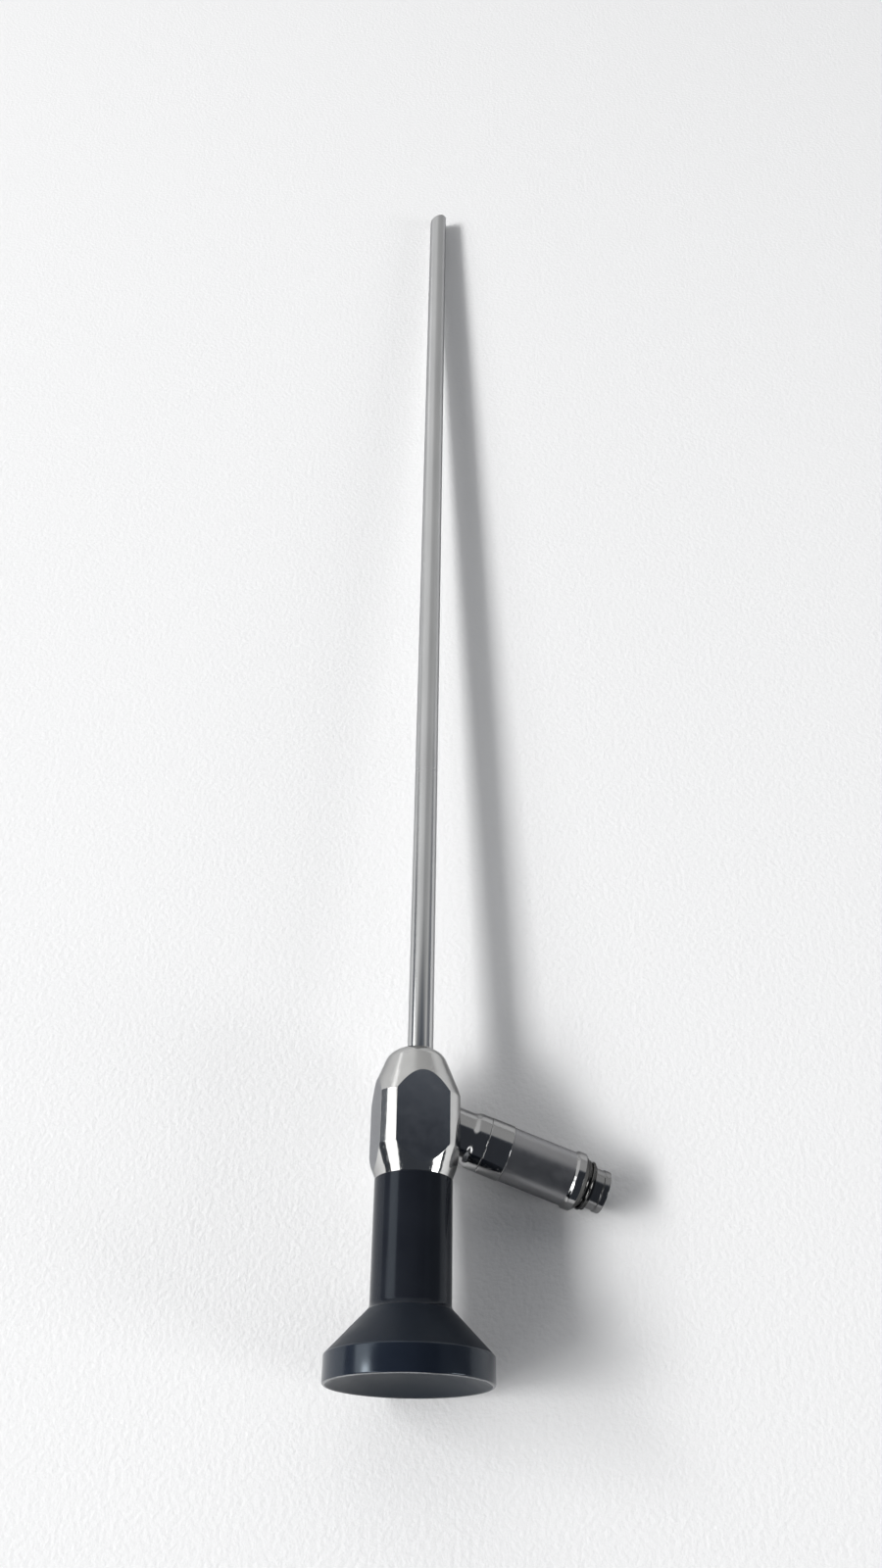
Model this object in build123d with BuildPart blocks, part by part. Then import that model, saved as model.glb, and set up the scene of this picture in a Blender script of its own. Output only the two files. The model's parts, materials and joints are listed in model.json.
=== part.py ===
from build123d import *
import os
from math import asin, atan, cos, radians, sin, sqrt, tan

os.makedirs("parts", exist_ok=True)

# A rigid rod-lens endoscope lying on a table. All sizes are in millimetres.
# Stations are distances along the scope from the back face of the eyepiece.
# Reaches are distances along the light post from the scope's centre line.

# Clearances
glue_gap = 0.02            # round a piece that is glued, soldered or screwed into its seat
lens_gap = 0.01            # round a lens in its tube and between neighbours in a stack
end_play = 0.3             # behind the ocular tube

# Eyepiece cup and barrel, one turned black piece
rim_d = 32.0
rim_width = 4.9
rim_round = 0.35
rim_land = 0.6             # flat land between the rim's edge and the dish
cone_end = 13.2            # station where the cup's cone meets the barrel
cone_round = 1.5
barrel_d = 15.7
barrel_end = 37.1
barrel_bore_d = 12.4
dish_depth = 3.5
dish_sag = 0.5
cup_floor = 2.6            # thickness left round the window's seat

# Eyepiece window and its steel bezel
window_d = 7.2
window_t = 1.2
bezel_wall = 1.0
bezel_length = 2.2
bezel_lip = 0.4
bezel_lip_t = 0.3

# Ocular inside the barrel
ocular_tube_d = 10.0
ocular_tube_wall = 0.7
ocular_tube_end = 33.0
eye_lens_station = 12.5
eye_crown_t = 1.2
eye_flint_t = 2.0
eye_rear_curve = 14.0
eye_cement_curve = 9.0
eye_ring_t = 1.4
eye_ring_wall = 0.9
stop_station = 25.0
stop_t = 0.4
stop_hole_d = 2.4
stop_spacer_wall = 0.4

# Steel body with four milled flats
body_rear_d = 15.2
body_rear_corner = 42.5
body_d = 19.8
body_front_corner = 53.3
body_nose = 64.2
nose_corner_d = 11.08      # where the front cone would meet the nose, before it is rounded
nose_round = 4.0
flats_across = 16.5
spigot_length = 8.0
cavity_d = 12.0
cavity_rear = 40.0
cavity_front = 56.5

# Shaft
tube_d = 5.5
tube_wall = 0.2
tube_root = 54.5           # station where the outer tube ends inside the body
tube_root_d = 6.0          # thicker root that is soldered into the body's nose
tube_root_reach = 0.5      # how far the thicker root stands out of the nose
tube_length = 325.5        # from its root to the middle of the slanted tip
view_angle = 30.0          # degrees between the shaft and the normal of the slanted tip
optics_tube_d = 3.4
optics_tube_wall = 0.2
optics_tube_root = 34.5
carrier_length = 6.0

# Lens train inside the optics tube
tip_window_t = 0.6
prism_length = 3.2
objective_t = 2.2
objective_curve = 4.5
aperture_t = 0.8
aperture_hole_d = 1.2
rod_count = 8
rod_spacer_t = 6.0
train_spacer_wall = 0.25
rod_end_curve = 12.0
train_rear = 40.0          # station of the rear end of the first rod
train_ring_t = 2.0

# Light post
post_station = 50.1        # where its centre line leaves the scope's
post_lean = 17.0           # degrees that it leans back towards the eyepiece
neck_d = 10.5
neck_end = 11.4
base_d = 11.5
base_shoulder = 13.0
base_end = 15.1
post_spigot_d = 7.2
post_spigot_start = 6.3
nipple_socket_depth = 3.2
lock_ring_d = 11.6
lock_ring_length = 5.0
sleeve_d = 11.2
sleeve_ring_d = 12.0
sleeve_ring_start = 33.7
sleeve_ring_ramp = 0.9
sleeve_ring_width = 1.3
sleeve_nose_d = 10.5
sleeve_end = 36.8
nipple_d = 8.3
thread_d = 10.2
thread_root_d = 9.2
thread_pitch = 0.95
thread_turns = 2
lip_d = 8.7
lip_length = 1.4
post_end = 42.0
edge_chamfer = 0.15
ferrule_d = 5.2
ferrule_wall = 0.6
light_window_t = 0.5
light_window_setback = 0.1

# Light-carrying fibres
bundle_d = 3.0             # where the bundle bends in the body
bundle_bend = 3.2
bundle_gap = 0.1           # between the bending bundle and what it passes

# Values that follow from the sizes above
rim_r = rim_d / 2
barrel_r = barrel_d / 2
body_r = body_d / 2
tube_r = tube_d / 2
tube_bore_r = tube_r - tube_wall
tube_root_r = tube_root_d / 2
optics_r = optics_tube_d / 2
train_r = optics_r - optics_tube_wall - lens_gap
ocular_r = ocular_tube_d / 2
eye_stack_r = ocular_r - ocular_tube_wall - lens_gap
bezel_r = window_d / 2 + bezel_wall
window_seat_end = dish_depth + cup_floor
nipple_r = nipple_d / 2
ferrule_r = ferrule_d / 2
bundle_r = bundle_d / 2
lock_ring_end = base_end + lock_ring_length
nipple_root = base_end - nipple_socket_depth
tip_station = tube_root + tube_length
tip_slope = tan(radians(view_angle))
# The optics tube lies on the eyepiece's centre line and against the wall of the outer tube, so
# the outer tube is off centre towards the post and leaves a crescent for the light fibres.
tube_offset = tube_bore_r - optics_r - glue_gap


def resting_pose():
    """Pitch and roll, in radians, at which rim, post and tip all touch the table, and the
    height of the centre line at the eyepiece's back face."""
    pitch = 0.0
    roll = 0.0
    height = rim_r
    lean = radians(post_lean)
    cone_angle = atan((rim_r - barrel_r) / (cone_end - rim_width))
    rim_contact = rim_width - rim_round * tan(cone_angle / 2)
    ring_start = sleeve_ring_start + sleeve_ring_ramp
    post_edges = [
        (ring_start, sleeve_ring_d / 2),
        (ring_start + sleeve_ring_width, sleeve_ring_d / 2),
        (post_end - edge_chamfer, lip_d / 2),
    ]
    for _ in range(30):
        tip_contact = tip_station + tip_slope * tube_r * sin(roll)
        drop = rim_r - tube_r - tube_offset * sin(roll)
        pitch = atan(drop / (tip_contact - rim_contact))
        height = rim_contact * sin(pitch) + (rim_r - rim_round) * cos(pitch) + rim_round
        rolls = []
        for reach, radius in post_edges:
            post_slope = sin(lean) * sin(pitch) - cos(lean) * sin(roll) * cos(pitch)
            hang = radius * sqrt(1 - post_slope**2)
            free = height - post_station * sin(pitch) + reach * sin(lean) * sin(pitch) - hang
            rolls.append(asin(free / (reach * cos(lean) * cos(pitch))))
        roll = min(rolls)
    return pitch, roll, height


pitch, roll, axis_height = resting_pose()
sideways = Vector(1, 0, 0)
up = Vector(0, sin(pitch), cos(pitch))
tip_dir = Vector(0, cos(pitch), -sin(pitch))
flat_normal = up * cos(roll) + sideways * sin(roll)
post_side = sideways * cos(roll) - up * sin(roll)
post_dir = post_side * cos(radians(post_lean)) - tip_dir * sin(radians(post_lean))

# The origin is on the table, under the middle of the box round the whole scope
post_reach_x = post_dir.X * (post_end - edge_chamfer) + lip_d / 2 * sqrt(1 - post_dir.X**2)
tip_reach_y = (tip_station + tip_slope * tube_r * cos(roll)) * cos(pitch)
middle_x = (post_reach_x - rim_r) / 2
middle_y = (tip_reach_y - rim_r * sin(pitch)) / 2
scope_origin = Vector(-middle_x, -middle_y, axis_height)
tube_origin = scope_origin + post_side * tube_offset
post_origin = scope_origin + tip_dir * post_station

scope_axis = Axis(scope_origin, tip_dir)
tube_axis = Axis(tube_origin, tip_dir)
post_axis = Axis(post_origin, post_dir)
# Outlines are drawn with x along the axis and y as the radius
scope_outline = Plane(scope_origin, x_dir=tip_dir, z_dir=post_side)
post_outline = Plane(post_origin, x_dir=post_dir, z_dir=flat_normal)
post_flat = Plane(scope_origin + post_side * (flats_across / 2), x_dir=tip_dir, z_dir=post_side)
tip_normal = tip_dir * cos(radians(view_angle)) - post_side * sin(radians(view_angle))
tip_plane = Plane(tube_origin + tip_dir * tip_station, x_dir=flat_normal, z_dir=tip_normal)


def across_scope(station):
    """Plane square to the eyepiece's centre line, with x towards the post's side."""
    return Plane(scope_origin + tip_dir * station, x_dir=post_side, z_dir=tip_dir)


def across_tube(station):
    """Plane square to the outer tube's own centre line."""
    return Plane(tube_origin + tip_dir * station, x_dir=post_side, z_dir=tip_dir)


def across_post(reach):
    """Plane square to the light post."""
    return Plane(post_origin + post_dir * reach, x_dir=flat_normal, z_dir=post_dir)


def finish(piece, name):
    """Label a finished piece and write it."""
    piece.label = name
    export_step(piece, f"parts/{name}.step")


def disc(plane, radius, length):
    """A plain round disc or rod from a plane onwards."""
    with BuildPart() as piece:
        with BuildSketch(plane):
            Circle(radius)
        extrude(amount=length)
    return piece.part


def ring(plane, outer_r, inner_r, length):
    """A plain round ring or tube from a plane onwards."""
    with BuildPart() as piece:
        with BuildSketch(plane):
            Circle(outer_r)
            Circle(inner_r, mode=Mode.SUBTRACT)
        extrude(amount=length)
    return piece.part


def curve_sag(curve, radius):
    """How far a face's middle stands out past its edge; a hollow face has a negative curve."""
    return curve - sqrt(curve**2 - radius**2) if curve > 0 else curve + sqrt(curve**2 - radius**2)


def seat_step(curve, radius, bore_r):
    """How far a ring that bears on a bulging lens face stands off that lens's edge."""
    return curve_sag(curve, radius) - curve_sag(curve, bore_r)


def lens(start, radius, edge_t, rear_curve=None, front_curve=None):
    """A lens on the scope's centre line, from the station of its rear edge. Its faces are flat,
    or bulge out with a positive curve radius, or are hollow with a negative one."""
    rear_sag = curve_sag(rear_curve, radius) if rear_curve else 0
    front_sag = curve_sag(front_curve, radius) if front_curve else 0
    rear_edge = (start, radius)
    front_edge = (start + edge_t, radius)
    rear_middle = (start - rear_sag, 0)
    front_middle = (start + edge_t + front_sag, 0)
    with BuildPart() as piece:
        with BuildSketch(scope_outline):
            with BuildLine():
                Polyline(rear_middle, front_middle)
                if front_curve:
                    half = asin(radius / abs(front_curve)) / 2
                    bulge = front_curve * (1 - cos(half))
                    on_face = (front_middle[0] - bulge, abs(front_curve) * sin(half))
                    ThreePointArc(front_middle, on_face, front_edge)
                else:
                    Line(front_middle, front_edge)
                Line(front_edge, rear_edge)
                if rear_curve:
                    half = asin(radius / abs(rear_curve)) / 2
                    bulge = rear_curve * (1 - cos(half))
                    on_face = (rear_middle[0] + bulge, abs(rear_curve) * sin(half))
                    ThreePointArc(rear_edge, on_face, rear_middle)
                else:
                    Line(rear_edge, rear_middle)
            make_face()
        revolve(axis=scope_axis)
    return piece.part


# Eyepiece cup: rim, cone and barrel turned from one piece, with a shallow dish at the back
with BuildPart() as eyepiece_cup:
    with BuildSketch(scope_outline) as cup_section:
        with BuildLine():
            SagittaArc((dish_depth, bezel_r), (0, rim_r - rim_land), dish_sag)
            Polyline(
                (0, rim_r - rim_land),
                (0, rim_r),
                (rim_width, rim_r),
                (cone_end, barrel_r),
                (barrel_end, barrel_r),
                (barrel_end, barrel_bore_d / 2),
                (window_seat_end, barrel_bore_d / 2),
                (window_seat_end, bezel_r),
                (dish_depth, bezel_r),
            )
        make_face()
        fillet(cup_section.vertices().sort_by(Axis.Y)[-2:], rim_round)
        barrel_corners = cup_section.vertices().filter_by_position(
            Axis.Y, barrel_r - edge_chamfer, barrel_r + edge_chamfer
        )
        fillet(barrel_corners.sort_by(Axis.X)[0], cone_round)
        outer_end = cup_section.vertices().group_by(Axis.X)[-1].sort_by(Axis.Y)[-1]
        chamfer(outer_end, edge_chamfer)
    revolve(axis=scope_axis)
finish(eyepiece_cup.part, "eyepiece_cup")

# Bezel: a steel cap ring in the cup's floor, whose lip holds the window from behind
with BuildPart() as window_bezel:
    with BuildSketch(scope_outline):
        with BuildLine():
            Polyline(
                (dish_depth, bezel_r - glue_gap),
                (dish_depth + bezel_length, bezel_r - glue_gap),
                (dish_depth + bezel_length, window_d / 2 + glue_gap),
                (dish_depth + bezel_lip_t, window_d / 2 + glue_gap),
                (dish_depth + bezel_lip_t, window_d / 2 - bezel_lip),
                (dish_depth, window_d / 2 - bezel_lip),
                close=True,
            )
        make_face()
    revolve(axis=scope_axis)
finish(window_bezel.part, "window_bezel")
finish(
    disc(across_scope(dish_depth + bezel_lip_t + glue_gap), window_d / 2, window_t),
    "eyepiece_window",
)

# Ocular: a black tube with a retaining ring, a cemented doublet, a spacer and the field stop
ocular_start = window_seat_end + end_play
eye_flint_station = eye_lens_station + eye_crown_t + lens_gap
stop_spacer_start = eye_flint_station + eye_flint_t + lens_gap
eye_ring_bore_r = eye_stack_r - eye_ring_wall
eye_ring_end = eye_lens_station - seat_step(eye_rear_curve, eye_stack_r, eye_ring_bore_r) - lens_gap
finish(
    ring(
        across_scope(ocular_start),
        ocular_r,
        ocular_r - ocular_tube_wall,
        ocular_tube_end - ocular_start,
    ),
    "ocular_tube",
)
finish(
    ring(across_scope(eye_ring_end - eye_ring_t), eye_stack_r, eye_ring_bore_r, eye_ring_t),
    "eye_lens_ring",
)
finish(
    lens(eye_lens_station, eye_stack_r, eye_crown_t, eye_rear_curve, eye_cement_curve),
    "eye_lens_crown",
)
finish(
    lens(eye_flint_station, eye_stack_r, eye_flint_t, -eye_cement_curve),
    "eye_lens_flint",
)
finish(
    ring(
        across_scope(stop_spacer_start),
        eye_stack_r,
        eye_stack_r - stop_spacer_wall,
        stop_station - lens_gap - stop_spacer_start,
    ),
    "stop_spacer",
)
finish(
    ring(across_scope(stop_station), eye_stack_r, stop_hole_d / 2, stop_t),
    "field_stop",
)

# Body: turned steel with four milled flats, a spigot for the barrel and a bore for the post
spigot_start = barrel_end - spigot_length
with BuildPart() as body_housing:
    with BuildSketch(scope_outline) as body_section:
        with BuildLine():
            Polyline(
                (spigot_start, 0),
                (spigot_start, barrel_bore_d / 2 - glue_gap),
                (barrel_end, barrel_bore_d / 2 - glue_gap),
                (barrel_end, body_rear_d / 2),
                (body_rear_corner, body_r),
                (body_front_corner, body_r),
                (body_nose, nose_corner_d / 2),
                (body_nose, 0),
                close=True,
            )
        make_face()
        nose_corner = body_section.vertices().group_by(Axis.X)[-1].sort_by(Axis.Y)[-1]
        fillet(nose_corner, nose_round)
    revolve(axis=scope_axis)
    with BuildSketch(across_scope(spigot_start)):
        Rectangle(flats_across, flats_across)
    extrude(amount=body_nose - spigot_start, mode=Mode.INTERSECT)
    with BuildSketch(across_scope(spigot_start)):
        Circle(ocular_r + glue_gap)
    extrude(amount=cavity_rear - spigot_start, mode=Mode.SUBTRACT)
    with BuildSketch(across_scope(cavity_rear)):
        Circle(cavity_d / 2)
    extrude(amount=cavity_front - cavity_rear, mode=Mode.SUBTRACT)
    with BuildSketch(across_tube(cavity_front)):
        Circle(tube_root_r + glue_gap)
    extrude(amount=body_nose - cavity_front, mode=Mode.SUBTRACT)
    with BuildSketch(across_post(0)):
        Circle(post_spigot_d / 2 + glue_gap)
    extrude(amount=base_end, mode=Mode.SUBTRACT)
finish(body_housing.part, "body_housing")

# Shaft: outer tube cut off on the slant, with a thicker root, and the inner optics tube
tube_root_length = body_nose + tube_root_reach - tube_root
with BuildPart() as outer_tube:
    with BuildSketch(across_tube(tube_root)):
        Circle(tube_r)
    extrude(amount=tube_length + tube_d)
    with BuildSketch(across_tube(tube_root)):
        Circle(tube_root_r)
    extrude(amount=tube_root_length)
    root_edges = outer_tube.edges().filter_by(GeomType.CIRCLE).group_by(SortBy.RADIUS)[-1]
    chamfer(root_edges.sort_by(scope_axis)[-1], edge_chamfer)
    with BuildSketch(across_tube(tube_root)):
        Circle(tube_bore_r)
    extrude(amount=tube_length + tube_d, mode=Mode.SUBTRACT)
    split(bisect_by=tip_plane, keep=Keep.BOTTOM)
finish(outer_tube.part, "outer_tube")

with BuildPart() as optics_tube:
    with BuildSketch(across_scope(optics_tube_root)):
        Circle(optics_r)
        Circle(optics_r - optics_tube_wall, mode=Mode.SUBTRACT)
    extrude(amount=tip_station + tube_d - optics_tube_root)
    split(bisect_by=tip_plane, keep=Keep.BOTTOM)
finish(optics_tube.part, "optics_tube")
finish(
    ring(across_scope(optics_tube_root), ocular_r, optics_r + glue_gap, carrier_length),
    "optics_carrier",
)

# Tip: a window across the slanted mouth and a prism behind it, both cut on the same slant
window_rear = tip_plane.offset(-tip_window_t)
prism_front = tip_plane.offset(-tip_window_t - lens_gap)
prism_rear = tip_station - tip_slope * (tube_offset + optics_r) - prism_length
with BuildPart() as tip_window:
    with BuildSketch(across_scope(prism_rear)):
        Circle(train_r)
    extrude(amount=prism_length + tube_d)
    split(bisect_by=tip_plane, keep=Keep.BOTTOM)
    split(bisect_by=window_rear, keep=Keep.TOP)
finish(tip_window.part, "tip_window")

with BuildPart() as view_prism:
    with BuildSketch(across_scope(prism_rear)):
        Circle(train_r)
    extrude(amount=prism_length + tube_d)
    split(bisect_by=prism_front, keep=Keep.BOTTOM)
finish(view_prism.part, "view_prism")

# Objective: two lenses with the aperture ring between them
objective_seat = seat_step(objective_curve, train_r, aperture_hole_d / 2) + lens_gap
front_lens_start = prism_rear - lens_gap - objective_t
aperture_start = front_lens_start - objective_seat - aperture_t
rear_lens_start = aperture_start - objective_seat - objective_t
finish(lens(front_lens_start, train_r, objective_t, objective_curve), "objective_front_lens")
finish(
    ring(across_scope(aperture_start), train_r, aperture_hole_d / 2, aperture_t),
    "aperture_ring",
)
finish(
    lens(rear_lens_start, train_r, objective_t, None, objective_curve),
    "objective_rear_lens",
)

# Relay: rod lenses with a spacer between neighbours, held by a ring at the rear
train_bore_r = train_r - train_spacer_wall
rod_seat = seat_step(rod_end_curve, train_r, train_bore_r) + lens_gap
rod_gap = rod_spacer_t + 2 * rod_seat
train_front = rear_lens_start - lens_gap - curve_sag(rod_end_curve, train_r)
rod_length = (train_front - train_rear - (rod_count - 1) * rod_gap) / rod_count
for index in range(rod_count):
    rod_start = train_rear + index * (rod_length + rod_gap)
    finish(
        lens(rod_start, train_r, rod_length, rod_end_curve, rod_end_curve),
        f"rod_lens_{index + 1}",
    )
    if index:
        finish(
            ring(
                across_scope(rod_start - rod_seat - rod_spacer_t),
                train_r,
                train_bore_r,
                rod_spacer_t,
            ),
            f"rod_spacer_{index}",
        )
finish(
    ring(across_scope(train_rear - rod_seat - train_ring_t), train_r, train_bore_r, train_ring_t),
    "train_ring",
)

# Base of the light post: a turned boss that sits on the body's flat, with a spigot through it
with BuildPart() as light_post_base:
    with BuildSketch(post_outline):
        with BuildLine():
            Polyline(
                (base_shoulder, base_d / 2),
                (base_end - edge_chamfer, base_d / 2),
                (base_end, base_d / 2 - edge_chamfer),
                (base_end, 0),
                (post_spigot_start, 0),
                (post_spigot_start, neck_d / 2),
                (neck_end, neck_d / 2),
            )
            Spline(
                (neck_end, neck_d / 2),
                (base_shoulder, base_d / 2),
                tangents=[(1, 0), (1, 0)],
            )
        make_face()
    revolve(axis=post_axis)
    split(bisect_by=post_flat, keep=Keep.TOP)
    with BuildSketch(across_post(post_spigot_start)):
        Circle(post_spigot_d / 2)
    extrude(amount=neck_end - post_spigot_start)
    with BuildSketch(across_post(0)):
        Circle(bundle_r + bundle_gap)
    extrude(amount=base_end, mode=Mode.SUBTRACT)
    with BuildSketch(across_post(nipple_root)):
        Circle(nipple_r + glue_gap)
    extrude(amount=nipple_socket_depth, mode=Mode.SUBTRACT)
finish(light_post_base.part, "light_post_base")

# Lock ring between the base and the sleeve
with BuildPart() as post_lock_ring:
    with BuildSketch(post_outline) as lock_ring_section:
        with BuildLine():
            Polyline(
                (base_end, nipple_r + glue_gap),
                (base_end, lock_ring_d / 2),
                (lock_ring_end, lock_ring_d / 2),
                (lock_ring_end, nipple_r + glue_gap),
                close=True,
            )
        make_face()
        chamfer(lock_ring_section.vertices().sort_by(Axis.Y)[-2:], edge_chamfer)
    revolve(axis=post_axis)
finish(post_lock_ring.part, "post_lock_ring")

# Sleeve: satin cylinder, raised ring with a ramp before it, and a tapered nose
sleeve_ring_top = sleeve_ring_start + sleeve_ring_ramp
with BuildPart() as post_sleeve:
    with BuildSketch(post_outline):
        with BuildLine():
            Polyline(
                (lock_ring_end, nipple_r + glue_gap),
                (lock_ring_end, sleeve_d / 2 - edge_chamfer),
                (lock_ring_end + edge_chamfer, sleeve_d / 2),
                (sleeve_ring_start, sleeve_d / 2),
                (sleeve_ring_top, sleeve_ring_d / 2),
                (sleeve_ring_top + sleeve_ring_width, sleeve_ring_d / 2),
                (sleeve_end, sleeve_nose_d / 2),
                (sleeve_end, nipple_r + glue_gap),
                close=True,
            )
        make_face()
    revolve(axis=post_axis)
finish(post_sleeve.part, "post_sleeve")

# Nipple: a tube through the sleeve with two thread turns and a lip at the end
thread_end = sleeve_end + thread_turns * thread_pitch
lip_start = post_end - lip_length
with BuildPart() as post_nipple:
    with BuildSketch(post_outline) as nipple_section:
        with BuildLine():
            Polyline(
                (nipple_root, ferrule_r + glue_gap),
                (nipple_root, nipple_r),
                (lip_start, nipple_r),
                (lip_start + edge_chamfer, lip_d / 2),
                (post_end - edge_chamfer, lip_d / 2),
                (post_end, lip_d / 2 - edge_chamfer),
                (post_end, ferrule_r + glue_gap),
                close=True,
            )
        make_face()
        for turn in range(thread_turns):
            turn_start = sleeve_end + turn * thread_pitch
            with BuildLine():
                Polyline(
                    (turn_start, nipple_r),
                    (turn_start, thread_root_d / 2),
                    (turn_start + thread_pitch / 2, thread_d / 2),
                    (turn_start + thread_pitch, thread_root_d / 2),
                    (turn_start + thread_pitch, nipple_r),
                    close=True,
                )
            make_face()
    revolve(axis=post_axis)
finish(post_nipple.part, "post_nipple")

# Ferrule round the fibres and the glass at its mouth
light_window_start = post_end - light_window_setback - light_window_t
finish(
    ring(
        across_post(nipple_root),
        ferrule_r,
        ferrule_r - ferrule_wall,
        light_window_start - lens_gap - nipple_root,
    ),
    "light_ferrule",
)
finish(disc(across_post(light_window_start), ferrule_r, light_window_t), "light_window")

# Light fibres: a crescent beside the optics tube, then a round bundle that bends into the post
bundle_side = optics_r + bundle_gap + bundle_r
bend_station = post_station - bundle_side * tan(radians(post_lean))
bend_reach = bundle_side / cos(radians(post_lean))
crescent_root = tube_root - bundle_r
bundle_root = scope_origin + tip_dir * (tube_root - bundle_gap) + post_side * bundle_side
bundle_corner = scope_origin + tip_dir * bend_station + post_side * bundle_side
with BuildPart() as light_fibres:
    with BuildSketch(across_tube(crescent_root)):
        Circle(tube_bore_r - glue_gap)
        with Locations((-tube_offset, 0)):
            Circle(optics_r + glue_gap, mode=Mode.SUBTRACT)
    extrude(amount=tip_station + tube_d - crescent_root)
    split(bisect_by=tip_plane, keep=Keep.BOTTOM)
    with BuildLine() as bundle_path:
        FilletPolyline(
            bundle_root,
            bundle_corner,
            post_origin + post_dir * (nipple_root + bundle_gap),
            radius=bundle_bend,
        )
    with BuildSketch(Plane(bundle_root, z_dir=-tip_dir)):
        Circle(bundle_r)
    sweep(path=bundle_path.line)
    with BuildSketch(across_post(nipple_root)):
        Circle(ferrule_r - ferrule_wall - glue_gap)
    extrude(amount=light_window_start - 2 * lens_gap - nipple_root)
finish(light_fibres.part, "light_fibres")
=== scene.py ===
import json
import math

import bmesh
import bpy
from mathutils import Matrix, Vector


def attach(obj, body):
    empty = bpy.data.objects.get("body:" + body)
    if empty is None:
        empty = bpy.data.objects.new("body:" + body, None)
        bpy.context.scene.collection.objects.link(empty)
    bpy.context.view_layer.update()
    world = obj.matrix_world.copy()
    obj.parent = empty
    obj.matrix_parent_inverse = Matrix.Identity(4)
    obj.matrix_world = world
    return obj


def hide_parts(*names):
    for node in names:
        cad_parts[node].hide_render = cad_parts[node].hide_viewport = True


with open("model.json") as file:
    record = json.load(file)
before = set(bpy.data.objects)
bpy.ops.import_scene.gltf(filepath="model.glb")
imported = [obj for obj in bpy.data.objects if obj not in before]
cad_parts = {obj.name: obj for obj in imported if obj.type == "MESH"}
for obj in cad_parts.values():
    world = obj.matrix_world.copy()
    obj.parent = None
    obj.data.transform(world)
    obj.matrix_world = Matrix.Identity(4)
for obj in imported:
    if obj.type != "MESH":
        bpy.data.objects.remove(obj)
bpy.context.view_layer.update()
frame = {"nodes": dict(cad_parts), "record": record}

# Sizes are in millimetres and angles in degrees; meshes are written in metres.
MM = 0.001

# Eyepiece
RIM_R = 16.0
RIM_WIDTH = 4.9
RIM_ROUND = 0.35
RIM_LAND = 0.6
RIM_WORN_OUT = 0.06
RIM_WORN_IN = 0.42
RIM_WORN_DEPTH = 0.12
CONE_END = 13.2
CONE_ROUND = 1.5
BARREL_R = 7.85
BARREL_END = 37.1
BARREL_BORE_R = 6.2
DISH_DEPTH = 3.5
DISH_SAG = 0.5
WINDOW_SEAT_END = 6.1
WINDOW_R = 3.6
WINDOW_T = 1.2
BEZEL_R = 4.6
BEZEL_LENGTH = 2.2
BEZEL_LIP = 0.4
BEZEL_LIP_T = 0.3

# Body
BODY_REAR_R = 7.6
BODY_REAR_CORNER = 42.5
BODY_R = 9.9
BODY_FRONT_CORNER = 53.3
BODY_NOSE = 64.2
NOSE_CORNER_R = 5.54
NOSE_ROUND = 4.0
FLAT_H = 8.25
SPIGOT_START = 29.1
SPIGOT_R = 6.18
OCULAR_BORE_R = 5.02
CAVITY_R = 6.0
CAVITY_REAR = 40.0
CAVITY_FRONT = 56.5
FLAT_EDGE_ROUND = 0.12
BODY_EDGE_ROUND = 0.25

# Shaft
TUBE_R = 2.75
TUBE_BORE_R = 2.55
TUBE_ROOT = 54.5
TIP_STATION = 380.0
VIEW_ANGLE = 30.0
TUBE_ROOT_R = 3.0
TUBE_ROOT_END = 64.7
TUBE_LENGTHS = 24
TIP_REACH = 20.0
SMOOTH_ROOT_LENGTH = 75.0

# Light post
POST_LEAN = 17.0
NECK_R = 5.25
NECK_END = 11.4
NECK_SUPPORT = 0.6
BASE_R = 5.75
BASE_START = 7.0
BASE_SHOULDER = 13.0
BASE_END = 15.1
BASE_BORE_R = 1.6
NIPPLE_ROOT = 11.9
LOCK_RING_R = 5.8
LOCK_RING_END = 20.1
SLEEVE_R = 5.6
SLEEVE_RING_R = 6.0
SLEEVE_RING_START = 33.7
SLEEVE_RING_TOP = 34.6
SLEEVE_RING_END = 35.9
SLEEVE_RAMP_ROUND = 0.25
SLEEVE_RAMP_TOP = 0.15
SLEEVE_NOSE_R = 5.25
SLEEVE_END = 36.8
NIPPLE_R = 4.15
THREAD_R = 5.1
THREAD_ROOT_R = 4.6
THREAD_PITCH = 0.95
THREAD_TURNS = 2
THREAD_RUN_OUT = 0.15
RIDGE_SHARE = 0.8
LIP_R = 4.35
LIP_START = 40.6
LIP_RAMP = 0.15
POST_END = 42.0
FERRULE_R = 2.6

# Edges and fits; a hair is less than any step in a shape
EDGE = 0.15
CLEARANCE = 0.02
HAIR = 0.01

# How finely round things are cut, and what counts as a sharp edge
ROUND_STEPS = 160
SUPPORT = 0.05
POLE = 1e-6
SHARP_ANGLE = math.radians(32)

# Where the scope lies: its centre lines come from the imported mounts
mounts = {m["name"]: m for m in frame["record"]["mounts"]}
tip_dir = Vector(mounts["shaft"]["axis"]).normalized()
post_dir = Vector(mounts["light_post_lip"]["axis"]).normalized()
cone_turn = math.atan((RIM_R - BARREL_R) / (CONE_END - RIM_WIDTH))
rim_middle = (RIM_ROUND + RIM_WIDTH - RIM_ROUND * math.tan(cone_turn / 2)) / 2
scope_origin = Vector(mounts["eyepiece_rim"]["pos_m"]) / MM - tip_dir * rim_middle
lip_middle = (LIP_START + POST_END) / 2
post_origin = Vector(mounts["light_post_lip"]["pos_m"]) / MM - post_dir * lip_middle
lean = math.radians(POST_LEAN)
post_side = ((post_dir + tip_dir * math.sin(lean)) / math.cos(lean)).normalized()
flat_normal = post_side.cross(tip_dir).normalized()
shaft_middle = Vector(mounts["shaft"]["pos_m"]) / MM
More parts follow.
